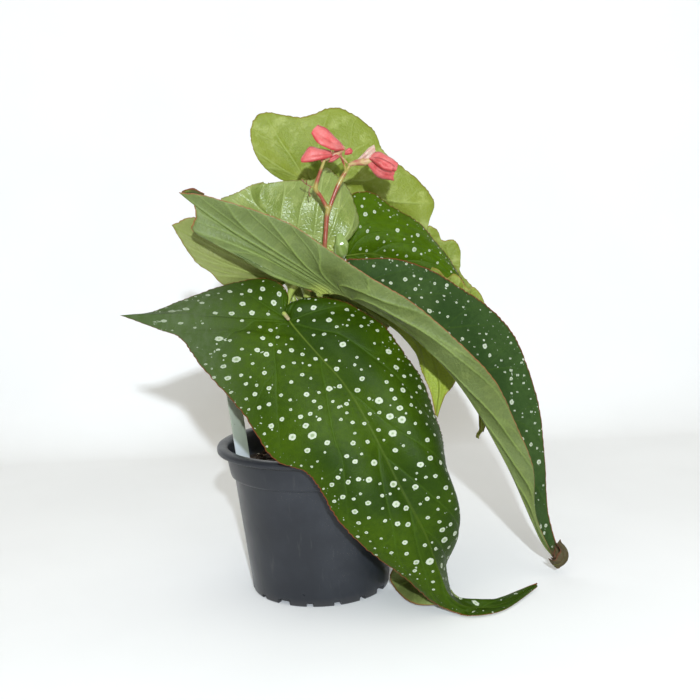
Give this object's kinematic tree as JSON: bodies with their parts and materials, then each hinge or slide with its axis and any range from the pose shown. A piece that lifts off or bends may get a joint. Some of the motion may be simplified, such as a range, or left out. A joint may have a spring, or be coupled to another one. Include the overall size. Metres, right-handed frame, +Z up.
{
  "type": "potted begonia",
  "caption": "Young begonia with broad wing-shaped spotted leaves and a small flower spray, in a round plastic nursery pot of soil with a plant label.",
  "frame": {"origin": "middle of the pot's underside, on the plane that the pot stands on", "axes": "+Z up along the pot's axis; -Y is the side that the picture shows, the front; +X is to its right, where the long leaves hang"},
  "size_m": [0.2593, 0.1377, 0.292],
  "materials": {
    "pot_plastic": "charcoal, slightly shiny moulded plastic",
    "soil": "dark moist peat",
    "label_plastic": "thin white plastic, bare",
    "cane": "smooth green-brown living stem",
    "leaf_upper": "glossy dark green leaf with white spots",
    "leaf_under": "satin grey-green underside of a leaf, veins raised",
    "leaf_young": "glossy yellow-green young leaf",
    "flower_stalk": "smooth red-brown stalk",
    "petal": "satin coral pink petals"
  },
  "bodies": {
    "root": {"pot": "pot_plastic", "soil": "soil", "plant_label": "label_plastic", "cane": "cane", "leaf_1": "leaf_upper", "leaf_2": "leaf_under", "leaf_3": "leaf_under", "leaf_4": "leaf_young", "leaf_5": "leaf_young", "leaf_6": "leaf_upper", "folded_leaf": "leaf_young", "flower_stalk": "flower_stalk", "flower_left": "petal", "flower_right": "petal"}
  },
  "joints": []
}
